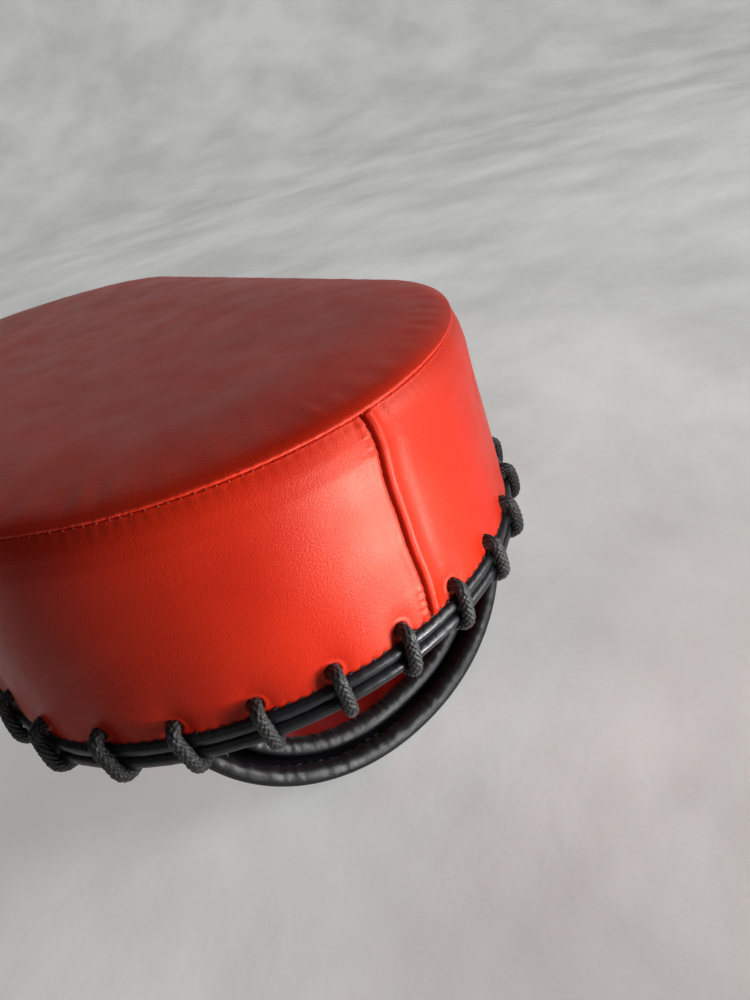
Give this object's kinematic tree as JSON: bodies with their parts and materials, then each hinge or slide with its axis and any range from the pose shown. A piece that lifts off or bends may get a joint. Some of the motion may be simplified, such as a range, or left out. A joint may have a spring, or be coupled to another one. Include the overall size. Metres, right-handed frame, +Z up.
{
  "type": "thai pad",
  "caption": "Elongated red leather striking pad, lace-bound in black round its back edge, with two cuffed forearm straps and a crosswise hand grip underneath.",
  "frame": {"origin": "middle of the base, on the floor under the straps", "axes": "+Z up with the strike face on top and the straps on the floor, Y along the pad with the elbow end at -Y and the grip end at +Y, X across the pad with the strap closures on +X"},
  "size_m": [0.2172, 0.3632, 0.1353],
  "materials": {
    "red_leather": "satin",
    "black_leather": "satin",
    "foam": "matt",
    "black_cord": "braided",
    "rope": "matt",
    "hook_and_loop": "matt",
    "steel": "polished"
  },
  "bodies": {
    "pad": {"face_panel": "red_leather", "side_gusset": "red_leather", "back_panel": "red_leather", "near_cuff": "red_leather", "mid_cuff": "red_leather", "gusset_binding": "black_leather", "back_binding": "black_leather", "near_band": "black_leather", "near_band_front_edge": "black_leather", "near_band_rear_edge": "black_leather", "near_cuff_front_edge": "black_leather", "near_cuff_rear_edge": "black_leather", "near_tongue": "black_leather", "near_ring_tab": "black_leather", "mid_band": "black_leather", "mid_band_front_edge": "black_leather", "mid_band_rear_edge": "black_leather", "mid_cuff_front_edge": "black_leather", "mid_cuff_rear_edge": "black_leather", "mid_tongue": "black_leather", "mid_ring_tab": "black_leather", "grip_cover": "black_leather", "grip_anchor_left": "black_leather", "grip_anchor_right": "black_leather", "face_foam": "foam", "core_foam": "foam", "back_foam": "foam", "lacing_cord": "black_cord", "grip_core": "rope", "near_loop_patch": "hook_and_loop", "mid_loop_patch": "hook_and_loop", "near_ring": "steel", "mid_ring": "steel", "grip_rivets": "steel", "grip_washers": "steel"},
    "near_closure": {"near_flap": "black_leather", "near_hook_patch": "hook_and_loop"},
    "mid_closure": {"mid_flap": "black_leather", "mid_hook_patch": "hook_and_loop"}
  },
  "joints": [
    {"name": "near_flap_peel", "type": "hinge", "parent": "pad", "child": "near_closure", "pos_m": [0.07054, -0.10958, 0.02872], "axis": [0, -1, 0], "range_deg": [0, 100]},
    {"name": "mid_flap_peel", "type": "hinge", "parent": "pad", "child": "mid_closure", "pos_m": [0.07054, 0.02, 0.02898], "axis": [0, -1, 0], "range_deg": [0, 100]}
  ]
}
